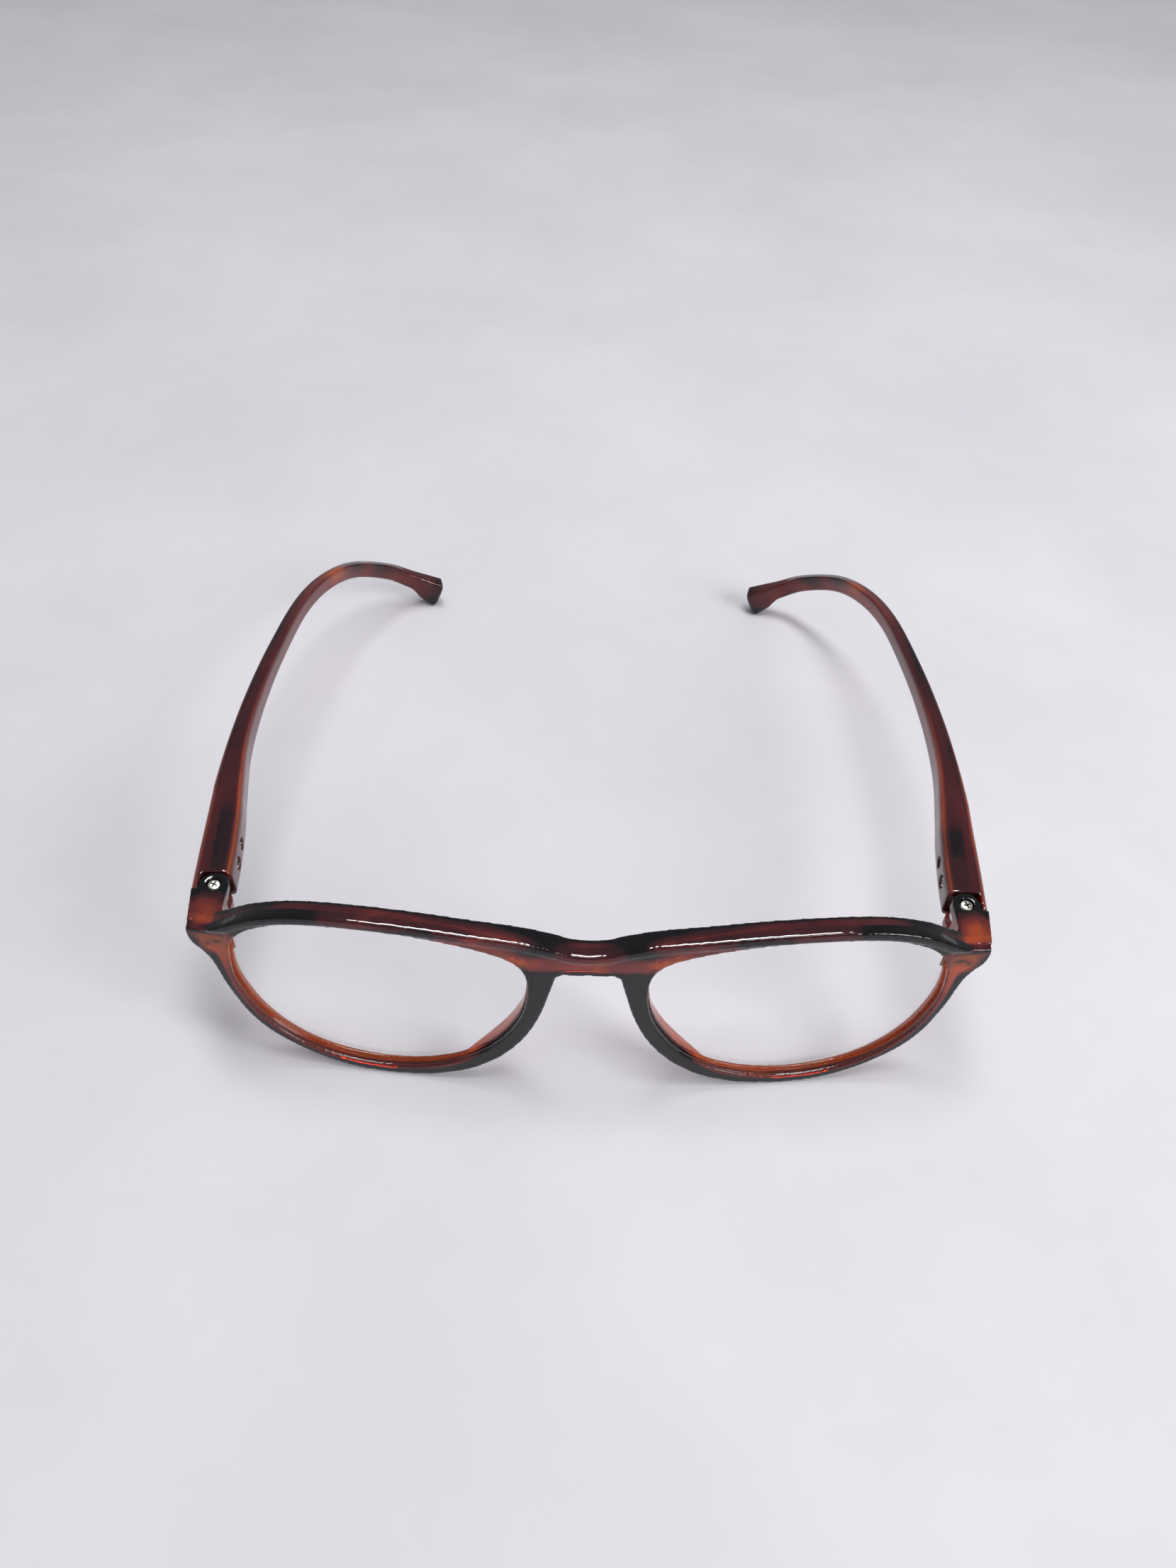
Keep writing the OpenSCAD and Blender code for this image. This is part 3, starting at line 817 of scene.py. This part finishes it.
def cross_slots(head, height):
    """The two crossed wedges that are cut out of a screw's head."""
    long, wide = head * SLOT_LENGTH, head * SLOT_WIDTH
    corners = ((-1, -1), (1, -1), (1, 1), (-1, 1))
    low = [(x * long * SLOT_FLOOR[0], y * wide * SLOT_FLOOR[1], -height * SLOT_DEPTH) for x, y in corners]
    top = [(x * long, y * wide, SLOT_ABOVE) for x, y in corners]
    turns = [Matrix.Rotation(math.radians(SLOT_TURN + turn), 4, "Z") for turn in (0, 90)]
    return [placed(skin("slot", [np.array(low), np.array(top)]), turn) for turn in turns]


def make_screw(name, size, matrix, material, body, replaced):
    """Cross-recessed screw with a slightly domed head. The head's top is at z = 0, and the recess is painted
    dark as shade.
    """
    head, height, shank, length = size
    profile = [(NEAR_AXIS, 0.0)] + [(head * share, -drop) for share, drop in DOME]
    profile += [(head, -height + CHAMFER), (head - CHAMFER, -height), (shank, -height)]
    for k in range(int((length - height) / THREAD_PITCH)):
        z = -height - THREAD_START - k * THREAD_PITCH
        profile += [(shank, z), (shank - THREAD_DEPTH, z - THREAD_PITCH / 2)]
    profile += [(shank - CHAMFER, -length + CHAMFER), (shank * 0.6, -length), (NEAR_AXIS, -length)]
    piece = lathe(name, profile)
    cut(piece, cross_slots(head, height))
    # Painted shade: faces inside the cross recess are marked to be painted dark.
    recess_shade_layer = piece.data.attributes.new("dye_and_painted_light", "FLOAT", "FACE")
    for i, face in enumerate(piece.data.polygons):
        x, y, z = face.center
        recess_shade_layer.data[i].value = float(z < SLOT_FROM and math.hypot(x, y) < head * SLOT_LENGTH)
    placed(piece, matrix)
    outward(piece)
    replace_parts(piece, replaced)
    return finished(piece, material, body, angle=35)


SPRING_TURNS, SPRING_RADIUS, WIRE = 8, 1.3, 0.2
COIL_STEPS, WIRE_SIDES = 28, 10
COIL_GAP = 0.02
NUT_FRONT = 15.8
# The coil's end turns are closed up: share of its turns, and share of its length.
CLOSED_ENDS = ((0, 0), (0.09, 0.03), (0.91, 0.97), (1, 1))


def make_spring(name, side, sign, material):
    """Coil from the guide block to the rod's nut. It shortens as the temple slides on its link."""
    first, last = BLOCK_BACK + WIRE + COIL_GAP, NUT_FRONT - WIRE - COIL_GAP
    steps = SPRING_TURNS * COIL_STEPS
    round_wire = np.arange(WIRE_SIDES) * 2 * math.pi / WIRE_SIDES
    rings = []
    for i in range(steps + 1):
        share = i / steps
        eased = np.interp(share, *np.transpose(CLOSED_ENDS))
        turn = share * SPRING_TURNS * 2 * math.pi
        radial = np.array([math.cos(turn), 0, math.sin(turn)])
        mid = radial * (SPRING_RADIUS - WIRE) + np.array([0, first + (last - first) * eased, 0])
        ring = np.outer(np.cos(round_wire) * WIRE, radial) + np.outer(np.sin(round_wire) * WIRE, [0, 1, 0])
        rings.append(mid + ring)
    piece = skin(name, rings)
    placed(piece, link_matrix(sign))
    outward(piece)
    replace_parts(piece, f"flex_spring_{side}")
    made = finished(piece, material, None)
    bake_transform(made)
    return made


# ---------------------------------------------------------------- camera, light and floor

# Place in the frame, angles in degrees, and focal length for the sensor's width.
CAMERA_AT = (-1.92, -183.97, 201.48)
CAMERA_AZIMUTH, CAMERA_ELEVATION, CAMERA_ROLL = -0.394, 46.96, 1.880
CAMERA_LENS, SENSOR_WIDTH = 26.853, 36


def make_camera():
    """Camera that looks along its azimuth and elevation, rolled about its own axis."""
    a, e, r = (math.radians(v) for v in (CAMERA_AZIMUTH, CAMERA_ELEVATION, CAMERA_ROLL))
    back = Vector((math.sin(a) * math.cos(e), -math.cos(a) * math.cos(e), math.sin(e)))
    right = Vector((math.cos(a), math.sin(a), 0))
    up = back.cross(right)
    rolled_right = math.cos(r) * right + math.sin(r) * up
    rolled_up = math.cos(r) * up - math.sin(r) * right
    data = bpy.data.cameras.new("camera")
    data.lens = CAMERA_LENS
    data.sensor_width = SENSOR_WIDTH
    data.clip_start, data.clip_end = 0.01, 20
    camera = bpy.data.objects.new("camera", data)
    turned = Matrix((rolled_right, rolled_up, back)).transposed().to_4x4()
    camera.matrix_world = Matrix.Translation(Vector(CAMERA_AT) * MM) @ turned
    bpy.context.scene.collection.objects.link(camera)
    bpy.context.scene.camera = camera


def area_light(name, place, target, size, power):
    data = bpy.data.lights.new(name, "AREA")
    data.shape = "RECTANGLE"
    data.size, data.size_y = size
    data.energy = power
    lamp = bpy.data.objects.new(name, data)
    lamp.location = place
    lamp.rotation_euler = (Vector(target) - Vector(place)).to_track_quat("-Z", "Y").to_euler()
    bpy.context.scene.collection.objects.link(lamp)
    return lamp


def make_studio():
    """Soft grey room with three lamps, and paper under the part. Places and sizes here are in metres."""
    world = bpy.data.worlds.new("soft room")
    world.use_nodes = True
    background = world.node_tree.nodes["Background"]
    background.inputs["Color"].default_value = (0.94, 0.95, 1.0, 1)
    background.inputs["Strength"].default_value = 0.32
    bpy.context.scene.world = world
    bpy.context.scene.view_settings.view_transform = "Standard"
    middle = (0, -0.02, 0)
    area_light("ceiling", (0.08, 0.05, 1.1), middle, (0.75, 0.25), 6.9)
    area_light("window", (0.75, -0.55, 0.60), middle, (0.5, 0.5), 6.7)
    sparkle = area_light("lamp for highlights only", (0.03, 0.40, 0.95), middle, (0.55, 0.14), 15)
    sparkle.visible_diffuse = False
    half = 3.0
    corners = [(-half, -half, 0), (half, -half, 0), (half, half, 0), (-half, half, 0)]
    floor = add("floor", corners, [(0, 1, 2, 3)])
    floor.location.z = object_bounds()[0][2]
    floor.data.materials.append(paper_floor("pale paper"))


# ---------------------------------------------------------------- build

make_camera()
front_plastic = tortoise_plastic("tortoise front plastic", (1, 1, 1))
temple_plastic = tortoise_plastic("tortoise temple plastic", (1, 0.3, 1))
lens_glass = clear_lens("clear lens")
bright = metal("bright screw steel", (0.56, 0.54, 0.49), (0.30, 0.28, 0.25), 0.28)
steel = metal("spring steel", (0.62, 0.61, 0.60), (0.36, 0.34, 0.32), 0.32)
dark_steel = metal("dark block steel", (0.10, 0.09, 0.09), (0.05, 0.045, 0.045), 0.4)
brass = metal("insert brass", (0.72, 0.50, 0.22), (0.45, 0.30, 0.14), 0.3)

# Pieces that keep their CAD shape.
kept_pieces = {"hinge_link": steel, "rod_nut": steel, "guide_block": dark_steel, "hinge_insert": brass}

make_front(front_plastic)
for side, sign in SIDES:
    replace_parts(make_lens(f"clear_lens_{side}", sign, lens_glass), f"lens_{side}")
    make_temple(f"tortoise_temple_{side}", side, sign, temple_plastic)
    make_spring(f"flex_coil_{side}", side, sign, steel)
    upright = hinge_matrix(sign) @ Matrix.Translation((0, 0, HINGE_SCREW_TOP))
    make_screw(f"hinge_cross_screw_{side}", HINGE_SCREW, upright, bright, "front", f"hinge_screw_{side}")
    head_top = Matrix.Translation((-RETAINER_SEAT - RETAINING_SCREW[1], RETAINER_Y, 0))
    sideways = link_matrix(sign) @ head_top @ Matrix.Rotation(-math.pi / 2, 4, "Y")
    make_screw(
        f"retaining_cross_screw_{side}", RETAINING_SCREW, sideways, bright,
        f"temple_{side}_body", f"retaining_screw_{side}",
    )
    for name, material in kept_pieces.items():
        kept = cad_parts[f"{name}_{side}"]
        for place in kept.material_slots:
            place.material = material

make_studio()
